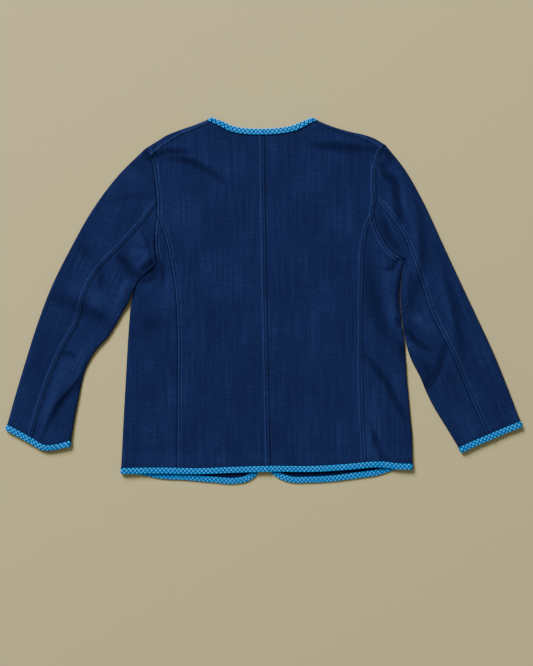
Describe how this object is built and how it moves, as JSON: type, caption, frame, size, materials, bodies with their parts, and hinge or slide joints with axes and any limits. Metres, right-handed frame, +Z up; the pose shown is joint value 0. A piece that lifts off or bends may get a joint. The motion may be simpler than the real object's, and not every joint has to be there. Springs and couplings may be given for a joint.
{
  "type": "sashiko jacket laid flat",
  "caption": "Collarless long-sleeved jacket laid flat back up, with wrapped cloth panels, two-piece sleeves and bound neck, cuffs, fronts and hem.",
  "frame": {"origin": "on the ground under the middle of the laid jacket's whole outline", "axes": "+X to the right from sleeve to sleeve as the jacket is seen from above, +Y towards the neck, +Z up off the ground"},
  "size_m": [0.992, 0.7024, 0.0115],
  "materials": {
    "navy_cloth": "indigo-dyed sashiko cotton, matt, with a fine ribbed weave and a felled, topstitched seam",
    "sky_binding": "sky-blue woven cotton binding with a small darker lattice, matt"
  },
  "bodies": {
    "root": {"back_left": "navy_cloth", "back_right": "navy_cloth", "side_left": "navy_cloth", "side_right": "navy_cloth", "front_left": "navy_cloth", "front_right": "navy_cloth", "top_sleeve_left": "navy_cloth", "top_sleeve_right": "navy_cloth", "under_sleeve_left": "navy_cloth", "under_sleeve_right": "navy_cloth", "neck_binding": "sky_binding", "hem_binding": "sky_binding", "front_binding_left": "sky_binding", "front_binding_right": "sky_binding", "cuff_binding_left": "sky_binding", "cuff_binding_right": "sky_binding"}
  },
  "joints": []
}
